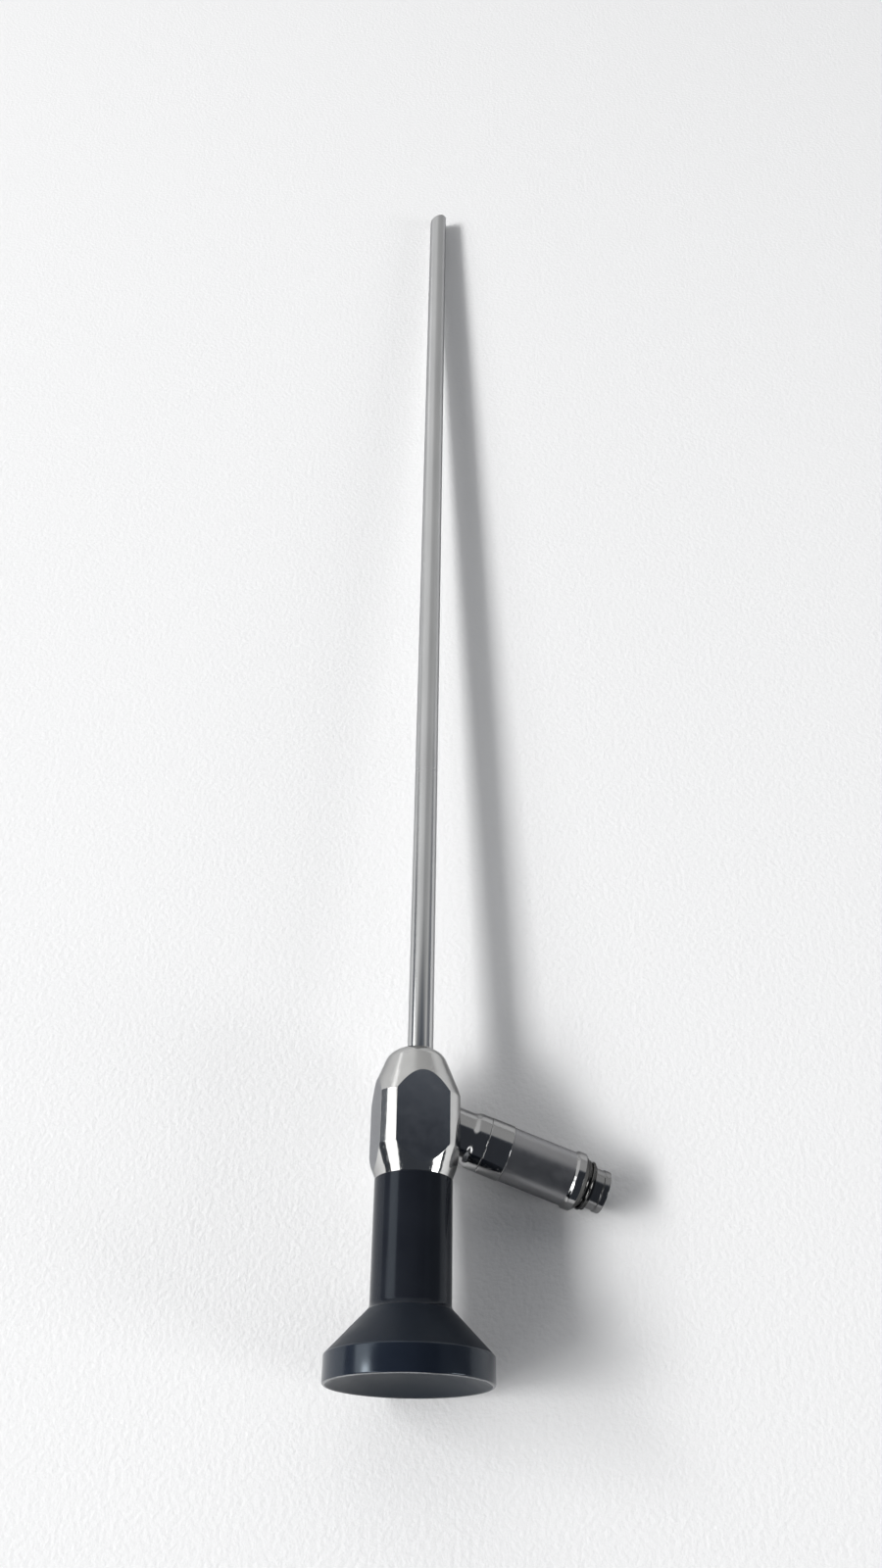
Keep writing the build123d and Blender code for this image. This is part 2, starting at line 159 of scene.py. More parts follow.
tube_offset = (shaft_middle - scope_origin).dot(post_side)
tube_origin = scope_origin + post_side * tube_offset


class Spindle:
    """A centre line with two directions across it. A turned piece's seam faces away from up."""

    def __init__(self, origin, along, up):
        self.origin = origin
        self.along = along
        self.up = up
        self.side = along.cross(up).normalized()

    def point(self, station, radius, turn):
        across = self.up * -math.cos(turn) + self.side * math.sin(turn)
        return self.origin + self.along * station + across * radius


scope = Spindle(scope_origin, tip_dir, flat_normal)
shaft = Spindle(tube_origin, tip_dir, flat_normal)
post = Spindle(post_origin, post_dir, flat_normal)


def rounded(corners, steps=4):
    """Outline through (x, r, rounding) corners, closed, with arcs at the rounded ones and
    support points beside each arc so that the straight stretches shade flat."""
    points = []
    count = len(corners)
    for i in range(count):
        x, r, size = corners[i]
        here = Vector((x, r))
        to_last = Vector(corners[i - 1][:2]) - here
        to_next = Vector(corners[(i + 1) % count][:2]) - here
        if not size:
            points.append((x, r))
            continue
        opening = to_last.angle(to_next)
        reach = size / math.tan(opening / 2)
        room = min(to_last.length, to_next.length)
        start = here + to_last.normalized() * reach
        end = here + to_next.normalized() * reach
        middle = (to_last.normalized() + to_next.normalized()).normalized()
        centre = here + middle * (size / math.sin(opening / 2))
        if reach + SUPPORT < room * 0.5:
            before = here + to_last.normalized() * (reach + SUPPORT)
            points.append((before.x, before.y))
        first = start - centre
        sweep = first.angle_signed(end - centre)
        for k in range(steps + 1):
            turned = Matrix.Rotation(-sweep * k / steps, 2) @ first
            points.append((centre.x + turned.x, centre.y + turned.y))
        if reach + SUPPORT < room * 0.5:
            after = here + to_next.normalized() * (reach + SUPPORT)
            points.append((after.x, after.y))
    return points


def arc(start, end, sag, steps):
    """Points from start to end along an arc that bulges by sag to the left of the way there."""
    a = Vector(start)
    b = Vector(end)
    chord = b - a
    left = Vector((-chord.y, chord.x)).normalized()
    half = chord.length / 2
    radius = (half * half + sag * sag) / (2 * abs(sag))
    side = 1 if sag > 0 else -1
    centre = (a + b) / 2 - left * side * (radius - abs(sag))
    first = a - centre
    sweep = first.angle_signed(b - centre)
    points = []
    for k in range(steps + 1):
        turned = Matrix.Rotation(-sweep * k / steps, 2) @ first
        points.append((centre.x + turned.x, centre.y + turned.y))
    return points


def mesh_object(name, verts, faces, uvs=None, materials=(), face_materials=None):
    """A mesh object from points in millimetres, smooth with its sharp edges kept."""
    mesh = bpy.data.meshes.new(name)
    mesh.from_pydata([v * MM for v in verts], [], faces)
    if uvs:
        layer = mesh.uv_layers.new(name="turned")
        for polygon in mesh.polygons:
            corners = [uvs[v] for v in polygon.vertices]
            highest = max(u for u, _ in corners)
            for loop, (u, v) in zip(polygon.loop_indices, corners):
                wrapped = u + 1 if highest - u > 0.5 else u
                layer.data[loop].uv = (wrapped, v)
    for material in materials:
        mesh.materials.append(material)
    if face_materials:
        for polygon, index in zip(mesh.polygons, face_materials):
            polygon.material_index = index
    mesh.validate()
    for polygon in mesh.polygons:
        polygon.use_smooth = True
    mesh.set_sharp_from_angle(angle=SHARP_ANGLE)
    obj = bpy.data.objects.new(name, mesh)
    bpy.context.scene.collection.objects.link(obj)
    return obj


def lathe(name, spindle, outline, materials, material_of=None, place=None, closed=True):
    """Turns an outline of (station, radius) points about a spindle. A radius of zero is a pole.
    place moves a turned point by its station, and material_of picks a material by station and
    radius."""
    verts = []
    uvs = []
    rings = []
    run = 0.0
    for i, (x, r) in enumerate(outline):
        if i:
            run += math.dist(outline[i - 1], (x, r))
        count = 1 if r < POLE else ROUND_STEPS
        rings.append(range(len(verts), len(verts) + count))
        for k in range(count):
            turn = 2 * math.pi * k / ROUND_STEPS
            at = spindle.point(x, r, turn)
            verts.append(place(at, x) if place else at)
            uvs.append((k / ROUND_STEPS, run))
    faces = []
    picks = []
    pairs = list(zip(range(len(rings) - 1), range(1, len(rings))))
    if closed:
        pairs.append((len(rings) - 1, 0))
    for i, j in pairs:
        a = rings[i]
        b = rings[j]
        if len(a) == 1 and len(b) == 1:
            continue
        mid_x = (outline[i][0] + outline[j][0]) / 2
        mid_r = (outline[i][1] + outline[j][1]) / 2
        for k in range(ROUND_STEPS):
            n = (k + 1) % ROUND_STEPS
            if len(a) == 1:
                face = (a[0], b[n], b[k])
            elif len(b) == 1:
                face = (a[k], a[n], b[0])
            else:
                face = (a[k], a[n], b[n], b[k])
            faces.append(face)
            picks.append(material_of(mid_x, mid_r) if material_of else 0)
    return mesh_object(name, verts, faces, uvs, materials, picks)


def outward(obj):
    """Merges a closed piece's doubled points and turns its faces outwards."""
    work = bmesh.new()
    work.from_mesh(obj.data)
    bmesh.ops.remove_doubles(work, verts=work.verts, dist=1e-7)
    bmesh.ops.recalc_face_normals(work, faces=work.faces)
    work.to_mesh(obj.data)
    work.free()
    obj.data.set_sharp_from_angle(angle=SHARP_ANGLE)


def finish_piece(obj, slot_name, *nodes):
    """Puts a piece on the scope's one body, in place of its CAD nodes."""
    outward(obj)
    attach(obj, "root")
    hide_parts(*nodes)


# Materials

# How much steel reflects where it is seen edge on: a dark edge tint, painted shade that stands in
# for darker surroundings near the floor
GRAZING_SHADE_TINT = (0.5, 0.5, 0.51, 1.0)
# The shell's gloss is a little blue
SHELL_TINT = (0.78, 0.9, 1.0, 1.0)
# Long scratches two ways and small nicks: the noise's stretch, its scale and where it starts to cut
SCRATCHES = (
    ((1.0, 0.05, 1.0), 3200.0, 0.66),
    ((0.06, 1.0, 0.8), 3000.0, 0.69),
    ((1.0, 1.0, 1.0), 3600.0, 0.68),
)
SCRATCH_WIDTH = 0.06
# The stretch of a noise that is the same all ways
EVEN = (1, 1, 1)


def material(name, colour, metallic, roughness):
    """A new node material and its shader, with the values that are the same all over."""
    made = bpy.data.materials.new(name)
    made.use_nodes = True
    shader = made.node_tree.nodes["Principled BSDF"]
    shader.inputs["Base Color"].default_value = (*colour, 1.0)
    shader.inputs["Metallic"].default_value = metallic
    shader.inputs["Roughness"].default_value = roughness
    return made, shader


def node(made, kind, **values):
    """A node whose inputs are given by name, with spaces written as underscores."""
    added = made.node_tree.nodes.new(kind)
    for key, value in values.items():
        added.inputs[key.replace("_", " ")].default_value = value
    return added


def join(made, source, target):
    """A link between two sockets."""
    made.node_tree.links.new(source, target)


def maths(tree, operation, first, second):
    """A Math node between two sockets or numbers."""
    step = tree.nodes.new("ShaderNodeMath")
    step.operation = operation
    for socket, value in zip(step.inputs, (first, second)):
        if isinstance(value, (int, float)):
            socket.default_value = value
        else:
            tree.links.new(value, socket)
    return step.outputs["Value"]


def coordinates(made, source="Object"):
    """The three separate coordinates of a point, as sockets."""
    coords = node(made, "ShaderNodeTexCoord")
    parts = node(made, "ShaderNodeSeparateXYZ")
    join(made, coords.outputs[source], parts.inputs["Vector"])
    return parts.outputs


def stretched_noise(made, source, stretch, scale, detail=4.0):
    """Noise on object or UV coordinates, stretched by a Mapping node."""
    coords = node(made, "ShaderNodeTexCoord")
    mapping = node(made, "ShaderNodeMapping", Scale=stretch)
    noise = node(made, "ShaderNodeTexNoise", Scale=scale, Detail=detail)
    join(made, coords.outputs[source], mapping.inputs["Vector"])
    join(made, mapping.outputs["Vector"], noise.inputs["Vector"])
    return noise


def ranged(made, socket, low, high, from_low=0.3, from_high=0.7, manner="LINEAR"):
    """A Map Range to low..high, from a noise's usual span unless told otherwise."""
    spread = node(made, "ShaderNodeMapRange")
    spread.interpolation_type = manner
    spread.inputs["From Min"].default_value = from_low
    spread.inputs["From Max"].default_value = from_high
    spread.inputs["To Min"].default_value = low
    spread.inputs["To Max"].default_value = high
    join(made, socket, spread.inputs["Value"])
    return spread.outputs["Result"]


def bump(made, shader, socket, strength, distance):
    """Adds a bump layer on top of any the shader already has."""
    layer = node(made, "ShaderNodeBump", Strength=strength, Distance=distance)
    join(made, socket, layer.inputs["Height"])
    normal = shader.inputs["Normal"]
    if normal.links:
        join(made, normal.links[0].from_socket, layer.inputs["Normal"])
    join(made, layer.outputs["Normal"], normal)


def tinted(made, shader, socket, dark, light):
    """Base colour between two shades."""
    ramp = node(made, "ShaderNodeValToRGB")
    ramp.color_ramp.elements[0].color = (*dark, 1.0)
    ramp.color_ramp.elements[1].color = (*light, 1.0)
    ramp.color_ramp.elements[0].position = 0.3
    ramp.color_ramp.elements[1].position = 0.7
    join(made, socket, ramp.inputs["Fac"])
    join(made, ramp.outputs["Color"], shader.inputs["Base Color"])


def black_shell_material(name, dark, light, gloss, roughness):
    """Black moulded shell: satin gloss, faint handling smudges, a trace of fine texture."""
    made, shader = material(name, light, 0.0, roughness)
    shader.inputs["Specular IOR Level"].default_value = gloss
    shader.inputs["Specular Tint"].default_value = SHELL_TINT
    smudge = stretched_noise(made, "Object", EVEN, 140.0, 5.0)
    join(made, ranged(made, smudge.outputs["Fac"], roughness * 0.8, roughness * 1.2),
         shader.inputs["Roughness"])
    tinted(made, shader, smudge.outputs["Fac"], dark, light)
    grain = stretched_noise(made, "Object", EVEN, 6000.0, 2.0)
    bump(made, shader, grain.outputs["Fac"], 0.04, 0.00004)
    return made


def worn_edge_material():
    """Edge of the black shell, rubbed grey in patches by handling."""
    made, shader = material("worn_shell_edge", (0.1, 0.105, 0.11), 0.0, 0.3)
    patches = stretched_noise(made, "Object", EVEN, 260.0, 4.0)
    tinted(made, shader, patches.outputs["Fac"], (0.05, 0.055, 0.06), (0.30, 0.31, 0.32))
    return made


def steel_material(name, colour, rough_low, rough_high, ring_strength, scratch=0.0):
    """Turned steel: fine rings round the axis, uneven polish, fine scratches and nicks."""
    made, shader = material(name, colour, 1.0, rough_low)
    # Painted shade: the dark edge tint darkens the steel's grazing reflections
    shader.inputs["Specular Tint"].default_value = GRAZING_SHADE_TINT
    rings = stretched_noise(made, "UV", (0.6, 1.0, 1.0), 26.0, 6.0)
    bump(made, shader, rings.outputs["Fac"], ring_strength, 0.00002)
    cloud = stretched_noise(made, "Object", EVEN, 420.0, 4.0)
    join(made, ranged(made, cloud.outputs["Fac"], rough_low, rough_high),
         shader.inputs["Roughness"])
    darker = tuple(c * 0.95 for c in colour)
    tinted(made, shader, cloud.outputs["Fac"], darker, colour)
    if scratch:
        for stretch, scale, start in SCRATCHES:
            marks = stretched_noise(made, "Object", stretch, scale, 1.0)
            cut = ranged(made, marks.outputs["Fac"], 1.0, 0.0, start, start + SCRATCH_WIDTH)
            bump(made, shader, cut, scratch, 0.00001)
    return made


def shaft_material():
    """Drawn tube: fine lines along it, smoother near the root."""
    made, shader = material("drawn_tube", (0.56, 0.56, 0.55), 1.0, 0.22)
    # Painted shade: the dark edge tint darkens the tube's grazing reflections
    shader.inputs["Specular Tint"].default_value = GRAZING_SHADE_TINT
    lines = stretched_noise(made, "UV", (160.0, 0.05, 1.0), 1.0, 5.0)
    bump(made, shader, lines.outputs["Fac"], 0.12, 0.00002)
    start = (tube_origin + tip_dir * BODY_NOSE).y * MM
    end = (tube_origin + tip_dir * (BODY_NOSE + SMOOTH_ROOT_LENGTH)).y * MM
    rough = ranged(made, coordinates(made)["Y"], 0.08, 0.28, start, end)
    join(made, rough, shader.inputs["Roughness"])
    cloud = stretched_noise(made, "Object", (1, 0.15, 1), 300.0, 4.0)
    tinted(made, shader, cloud.outputs["Fac"], (0.53, 0.535, 0.535), (0.585, 0.59, 0.59))
    return made


def glass_material(name, tint, coat_tint):
    """Coated optical glass."""
    made, shader = material(name, tint, 0.0, 0.02)
    shader.inputs["IOR"].default_value = 1.6
    shader.inputs["Transmission Weight"].default_value = 1.0
    shader.inputs["Coat Weight"].default_value = 0.3
    shader.inputs["Coat Tint"].default_value = (*coat_tint, 1.0)
    haze = stretched_noise(made, "Object", EVEN, 500.0, 3.0)
    join(made, ranged(made, haze.outputs["Fac"], 0.01, 0.05), shader.inputs["Roughness"])
    return made


def plain_inner_material(name, colour, metallic, roughness):
    """Finish of a small or sealed piece: fine machining grain."""
    made, shader = material(name, colour, metallic, roughness)
    grain = stretched_noise(made, "Object", (1, 4, 1), 900.0, 4.0)
    join(made, ranged(made, grain.outputs["Fac"], roughness * 0.8, roughness * 1.2),
         shader.inputs["Roughness"])
    bump(made, shader, grain.outputs["Fac"], 0.1, 0.00005)
    darker = tuple(c * 0.85 for c in colour)
    tinted(made, shader, grain.outputs["Fac"], darker, colour)
    return made


def fibre_material():
    """Polished end of a glued fibre bundle: fine round fibres in darker glue."""
    made, shader = material("fibre_bundle", (0.55, 0.5, 0.38), 0.0, 0.22)
    x, y, z = coordinates(made)
    at_tip = ranged(made, y, 0.0, 1.0, 0.0, 0.001)
    level = node(made, "ShaderNodeMix")
    join(made, at_tip, level.inputs["Factor"])
    join(made, y, level.inputs["A"])
    join(made, x, level.inputs["B"])
    across_fibres = node(made, "ShaderNodeCombineXYZ")
    join(made, level.outputs["Result"], across_fibres.inputs["X"])
    join(made, z, across_fibres.inputs["Y"])
    cells = node(made, "ShaderNodeTexVoronoi", Scale=9000.0, Randomness=0.6)
    cells.voronoi_dimensions = "2D"
    join(made, across_fibres.outputs["Vector"], cells.inputs["Vector"])
    across = ranged(made, cells.outputs["Distance"], 1.0, 0.0, 0.2, 0.6)
    tinted(made, shader, across, (0.24, 0.21, 0.15), (0.62, 0.59, 0.50))
    bump(made, shader, across, 0.1, 0.00001)
    patches = stretched_noise(made, "Object", EVEN, 1500.0, 3.0)
    join(made, ranged(made, patches.outputs["Fac"], 0.16, 0.3), shader.inputs["Roughness"])
    return made


black_rim = black_shell_material(
    "black_rim", (0.008, 0.011, 0.018), (0.011, 0.015, 0.024), 0.42, 0.17)
black_cone = black_shell_material(
    "black_cone", (0.009, 0.012, 0.018), (0.012, 0.016, 0.024), 0.12, 0.38)
black_barrel = black_shell_material(
    "black_barrel", (0.010, 0.0115, 0.016), (0.013, 0.015, 0.020), 0.18, 0.15)
black_dish = black_shell_material(
    "black_dish", (0.008, 0.012, 0.019), (0.011, 0.016, 0.024), 0.21, 0.36)
worn_edge = worn_edge_material()
cone_steel = steel_material("satin_turned_steel", (0.56, 0.56, 0.55), 0.15, 0.20, 0.16, 0.25)
polished_steel = steel_material("polished_steel", (0.59, 0.59, 0.58), 0.06, 0.11, 0.08, 0.35)
flat_steel = steel_material("milled_flat", (0.44, 0.455, 0.475), 0.10, 0.15, 0.05)
post_steel = steel_material("polished_post_steel", (0.40, 0.40, 0.40), 0.06, 0.12, 0.12, 0.4)
sleeve_steel = steel_material("satin_sleeve_steel", (0.34, 0.34, 0.35), 0.32, 0.40, 0.25, 0.3)
# Dark thread steel: partly tarnish in the thread's grooves, partly painted shade standing in for
# contact shade and for the shadowed floor it reflects
tarnish_and_shade_steel = steel_material("tarnished_and_shaded_thread_steel", (0.1, 0.099, 0.097), 0.1, 0.18, 0.12, 0.3)
lip_steel = steel_material("worn_lip_steel", (0.29, 0.29, 0.29), 0.10, 0.20, 0.12, 0.5)
drawn_tube = shaft_material()
window_glass = glass_material("window_glass", (0.90, 0.95, 0.96), (0.80, 0.88, 1.0))
lens_glass = glass_material("lens_glass", (0.92, 0.95, 0.94), (0.86, 0.93, 1.0))
black_metal = plain_inner_material("black_anodised", (0.02, 0.02, 0.022), 0.0, 0.45)
brass = plain_inner_material("turned_brass", (0.62, 0.5, 0.28), 1.0, 0.3)
inner_steel = plain_inner_material("inner_steel", (0.5, 0.5, 0.5), 1.0, 0.35)
fibre_glue = fibre_material()


# Eyepiece

def make_eyepiece_cup():
    """Rim, cone and barrel in one, with the dished back and its rubbed edge."""
    dish = arc((DISH_DEPTH, BEZEL_R), (0, RIM_R - RIM_LAND), -DISH_SAG, 24)
    outline = rounded([
        (0.0, RIM_R, RIM_ROUND),
        (RIM_WIDTH, RIM_R, RIM_ROUND),
        (CONE_END, BARREL_R, CONE_ROUND),
        (BARREL_END, BARREL_R, EDGE),
        (BARREL_END, BARREL_BORE_R, 0),
        (WINDOW_SEAT_END, BARREL_BORE_R, 0),
        (WINDOW_SEAT_END, BEZEL_R, 0),
        (DISH_DEPTH, BEZEL_R, 0),
        (0.0, RIM_R - RIM_LAND, 0),
    ])
    outline = outline[:-1] + dish[1:]
    on_rim, on_cone, on_barrel, on_dish, on_worn_edge = range(5)
    cone_start = RIM_WIDTH + RIM_ROUND * 0.4
    barrel_start = CONE_END - 0.5
    dish_edge = RIM_R - 0.5

    def finish(x, r):
        if x < RIM_WORN_DEPTH and RIM_R - RIM_WORN_IN < r < RIM_R - RIM_WORN_OUT:
            return on_worn_edge
        if r < dish_edge and x < DISH_DEPTH + 0.1:
            return on_dish
        if x > barrel_start:
            return on_barrel
        return on_cone if x > cone_start else on_rim

    piece = lathe("eyepiece_cup_skin", scope, outline,
                  [black_rim, black_cone, black_barrel, black_dish, worn_edge], material_of=finish)
    finish_piece(piece, "black_shell", "eyepiece_cup")


def make_eyepiece_window():
    """The window in the middle of the dish and the lipped bezel that holds it."""
    lip_start = DISH_DEPTH
    outline = rounded([
        (lip_start, BEZEL_R - CLEARANCE, 0.08),
        (lip_start + BEZEL_LENGTH, BEZEL_R - CLEARANCE, 0),
        (lip_start + BEZEL_LENGTH, WINDOW_R + CLEARANCE, 0),
        (lip_start + BEZEL_LIP_T, WINDOW_R + CLEARANCE, 0),
        (lip_start + BEZEL_LIP_T, WINDOW_R - BEZEL_LIP, 0),
        (lip_start, WINDOW_R - BEZEL_LIP, 0.08),
    ])
    bezel = lathe("window_bezel_skin", scope, outline, [black_metal])
    finish_piece(bezel, "satin_steel", "window_bezel")
    start = lip_start + BEZEL_LIP_T + CLEARANCE
    outline = rounded([
        (start, 0, 0),
        (start, WINDOW_R, 0.05),
        (start + WINDOW_T, WINDOW_R, 0.05),
        (start + WINDOW_T, 0, 0),
    ])
    window = lathe("eyepiece_window_glass", scope, outline, [window_glass], closed=False)
    finish_piece(window, "optical_glass", "eyepiece_window")


# Body

def body_outline():
    """The body's outer outline from its rear face to its nose, without the flats."""
    return rounded([
        (BARREL_END, BODY_REAR_R, 0),
        (BODY_REAR_CORNER, BODY_R, BODY_EDGE_ROUND),
        (BODY_FRONT_CORNER, BODY_R, BODY_EDGE_ROUND),
        (BODY_NOSE, NOSE_CORNER_R, NOSE_ROUND),
        (BODY_NOSE, TUBE_ROOT_R + tube_offset, 0),
    ], 10)


def with_flat_stations(outline):
    """Adds stations on the cones so that the flats' curved ends are followed closely."""
    steps = 16
    apart = 1e-4
    widest = math.degrees(math.acos(FLAT_H / BODY_R))
    radii = [FLAT_H / math.cos(math.radians(widest * k / steps)) for k in range(steps)]
    points = [outline[0]]
    for a, b in zip(outline, outline[1:]):
        low, high = sorted((a[1], b[1]))
        between = [r for r in radii if low + apart < r < high - apart]
        if a[1] > b[1]:
            between.reverse()
        for r in between:
            points.append((a[0] + (b[0] - a[0]) * (r - a[1]) / (b[1] - a[1]), r))
        points.append(b)
    return points


def flat_ring(radius):
    """Half a quarter of the body's section from the middle of a flat, as (out, across) points."""
    flat_shares = (0, 0.5, 0.98)
    edge_steps = 4
    strip_shares = (0, 0.03, 0.12, 0.25, 0.37, 0.5, 0.62, 0.75, 0.87, 1.0)
    edge = FLAT_EDGE_ROUND
    flat = 0.0
    turn = 0.0
    if radius > FLAT_H:
        flat = math.sqrt(max((radius - edge) ** 2 - (FLAT_H - edge) ** 2, 0.0))
        turn = math.atan2(flat, FLAT_H - edge)
    out = FLAT_H if radius > FLAT_H else radius
    points = [(out, flat * share) for share in flat_shares]
    for k in range(edge_steps):
        a = turn * k / edge_steps
        points.append((out - edge + edge * math.cos(a), flat + edge * math.sin(a)))
    strip = math.pi / 4 - turn
    for share in strip_shares:
        a = turn + strip * share
        points.append((radius * math.cos(a), radius * math.sin(a)))
    return points


def body_ring(radius):
    """The body's whole section at one station, as (along flat_normal, along post_side) pairs."""
    half = flat_ring(radius)
    quarter = [(out, -across) for out, across in reversed(half[1:])] + half[:-1]
    ring = []
    for k in range(4):
        c = (1, 0, -1, 0)[k]
        s = (0, 1, 0, -1)[k]
        for out, across in quarter:
            ring.append((out * c - across * s, out * s + across * c))
    return ring


def make_body():
    """The body with four flats, its spigot and its bore, and the shaft's seat in the nose."""
    outer = with_flat_stations(body_outline())
    count = len(body_ring(BODY_R))
    verts = []
    uvs = []
    run = 0.0
    for i, (x, r) in enumerate(outer):
        if i:
            run += math.dist(outer[i - 1], (x, r))
        for n, s in body_ring(r):
            verts.append(scope_origin + tip_dir * x + flat_normal * n + post_side * s)
            turn = math.atan2(s, n) / (2 * math.pi) + 0.5
            uvs.append((turn, run))
    bands = len(outer)

    def round_ring(x, r, offset=0.0):
        for n, s in body_ring(BODY_R):
            turn = math.atan2(s, n)
            centre = scope_origin + post_side * offset
            across = flat_normal * math.cos(turn) + post_side * math.sin(turn)
            verts.append(centre + tip_dir * x + across * r)
            uvs.append((turn / (2 * math.pi) + 0.5, run + x))

    round_ring(BODY_NOSE, TUBE_ROOT_R + CLEARANCE, tube_offset)
    round_ring(CAVITY_FRONT, TUBE_ROOT_R + CLEARANCE, tube_offset)
    round_ring(CAVITY_FRONT, CAVITY_R)
    round_ring(CAVITY_REAR, CAVITY_R)
    round_ring(CAVITY_REAR, OCULAR_BORE_R)
    round_ring(SPIGOT_START, OCULAR_BORE_R)
    round_ring(SPIGOT_START, SPIGOT_R)
    round_ring(BARREL_END, SPIGOT_R)
    total = len(verts) // count
    faces = []
    picks = []
    on_cone, on_round, on_flat = range(3)
    quarter = count // 4
    flat_half = 5
    for i in range(total):
        j = (i + 1) % total
        for k in range(count):
            n = (k + 1) % count
            faces.append((i * count + k, i * count + n, j * count + n, j * count + k))
            place = k % quarter
            in_flat = abs(place + 0.5 - quarter / 2) < flat_half
            if i >= bands - 1:
                picks.append(on_round)
            elif in_flat and outer[i][1] > FLAT_H - 1e-6:
                picks.append(on_flat)
            elif outer[i][0] >= BODY_FRONT_CORNER - HAIR:
                picks.append(on_cone)
            else:
                picks.append(on_round)
    piece = mesh_object("body_housing_skin", verts, faces, uvs,
                        [cone_steel, polished_steel, flat_steel], picks)
    finish_piece(piece, "polished_steel", "body_housing")


# Shaft

def slanted(at, x):
    """Slides a point near the tip along the shaft, so that the tube's end lies on the slant."""
    if x < TIP_STATION - TIP_REACH:
        return at
    across = (at - tube_origin).dot(post_side)
    return at + tip_dir * across * math.tan(math.radians(VIEW_ANGLE))


def make_shaft():
    """Outer tube with its thicker root, cut off on the slant at the tip."""
    outline = rounded([
        (TUBE_ROOT, TUBE_ROOT_R, 0),
        (TUBE_ROOT_END, TUBE_ROOT_R, TUBE_ROOT_R - TUBE_R - HAIR),
        (TUBE_ROOT_END, TUBE_R, 0),
        (TIP_STATION, TUBE_R, 0.05),
        (TIP_STATION, TUBE_BORE_R, 0.03),
        (TUBE_ROOT, TUBE_BORE_R, 0),
    ], 3)
    split = []
    for a, b in zip(outline, outline[1:] + outline[:1]):
        split.append(a)
        if abs(a[0] - b[0]) < TIP_STATION / 2:
            continue
        for k in range(1, TUBE_LENGTHS):
            split.append(tuple(p + (q - p) * k / TUBE_LENGTHS for p, q in zip(a, b)))
    tube = lathe("outer_tube_skin", shaft, split, [drawn_tube, polished_steel],
                 material_of=lambda x, r: int(x < TUBE_ROOT_END and r > TUBE_R + HAIR),
                 place=slanted)
    finish_piece(tube, "shaft_steel", "outer_tube")


# Light post

def make_post_base():
    """Boss on the body's flat. Its inner end is cut by the flat, its waist swells to the joint."""
    outline = [(BASE_START, BASE_BORE_R), (BASE_START, NECK_R), (NECK_END - NECK_SUPPORT, NECK_R)]
    steps = 10
    for k in range(steps + 1):
        t = k / steps
        swell = 3 * t * t - 2 * t * t * t
        outline.append((NECK_END + (BASE_SHOULDER - NECK_END) * t,
                        NECK_R + (BASE_R - NECK_R) * swell))
    outline += rounded([
        (BASE_SHOULDER, BASE_R, 0),
        (BASE_END, BASE_R, EDGE),
        (BASE_END, NIPPLE_R + CLEARANCE, 0),
    ])[1:]
    outline += [(NIPPLE_ROOT, NIPPLE_R + CLEARANCE), (NIPPLE_ROOT, BASE_BORE_R)]

    def on_flat(at, x):
        if x > BASE_START + HAIR:
            return at
        height = (at - scope_origin).dot(post_side)
        return at + post_dir * ((FLAT_H - height) / math.cos(lean))

    base = lathe("light_post_base_skin", post, outline, [post_steel], place=on_flat)
    finish_piece(base, "polished_steel", "light_post_base")


def make_lock_ring():
    """Plain polished ring between the boss and the sleeve."""
    outline = rounded([
        (BASE_END, NIPPLE_R + CLEARANCE, 0),
        (BASE_END, LOCK_RING_R, EDGE),
        (LOCK_RING_END, LOCK_RING_R, EDGE),
        (LOCK_RING_END, NIPPLE_R + CLEARANCE, 0),
    ])
    piece = lathe("post_lock_ring_skin", post, outline, [post_steel])
    finish_piece(piece, "polished_steel", "post_lock_ring")


def make_sleeve():
    """Satin sleeve with a polished raised ring and a darker tapered nose; the nose's darkness is
    painted shade.
    """
    outline = rounded([
        (LOCK_RING_END, NIPPLE_R + CLEARANCE, 0),
        (LOCK_RING_END, SLEEVE_R, EDGE),
        (SLEEVE_RING_START + SLEEVE_RAMP_ROUND, SLEEVE_R, SLEEVE_RAMP_ROUND),
        (SLEEVE_RING_TOP - SLEEVE_RAMP_TOP, SLEEVE_RING_R, SLEEVE_RAMP_ROUND),
        (SLEEVE_RING_END, SLEEVE_RING_R, 0.08),
        (SLEEVE_END, SLEEVE_NOSE_R, 0.05),
        (SLEEVE_END, NIPPLE_R + CLEARANCE, 0),
    ], 6)
    # The nose takes the dark thread steel: painted shade for the shadowed floor it reflects
    on_barrel, on_ring, on_nose = range(3)

    def finish(x, r):
        if x < SLEEVE_RING_START:
            return on_barrel
        return on_ring if x < SLEEVE_RING_END else on_nose

    piece = lathe("post_sleeve_skin", post, outline, [sleeve_steel, post_steel, tarnish_and_shade_steel],
                  material_of=finish)
    finish_piece(piece, "satin_steel", "post_sleeve")


def make_nipple():
    """Nipple with a plain barrel for its thread and a lipped end."""
    thread_end = SLEEVE_END + THREAD_TURNS * THREAD_PITCH
    hidden = 0.05
    outline = rounded([
        (NIPPLE_ROOT, FERRULE_R + CLEARANCE, 0),
        (NIPPLE_ROOT, NIPPLE_R, 0),
        (SLEEVE_END - 2 * hidden, NIPPLE_R, 0),
        (SLEEVE_END - hidden, THREAD_ROOT_R, 0),
        (thread_end, THREAD_ROOT_R, 0),
        (thread_end + THREAD_RUN_OUT, NIPPLE_R, 0),
        (LIP_START, NIPPLE_R, 0.03),
        (LIP_START + LIP_RAMP, LIP_R, 0.06),
        (POST_END, LIP_R, EDGE),
        (POST_END, FERRULE_R + CLEARANCE, 0.05),
    ])
    # The thread barrel takes the dark thread steel: partly tarnish, partly painted shade
    piece = lathe("post_nipple_skin", post, outline, [lip_steel, tarnish_and_shade_steel],
                  material_of=lambda x, r: int(x < thread_end + 0.1))
    finish_piece(piece, "polished_steel", "post_nipple")


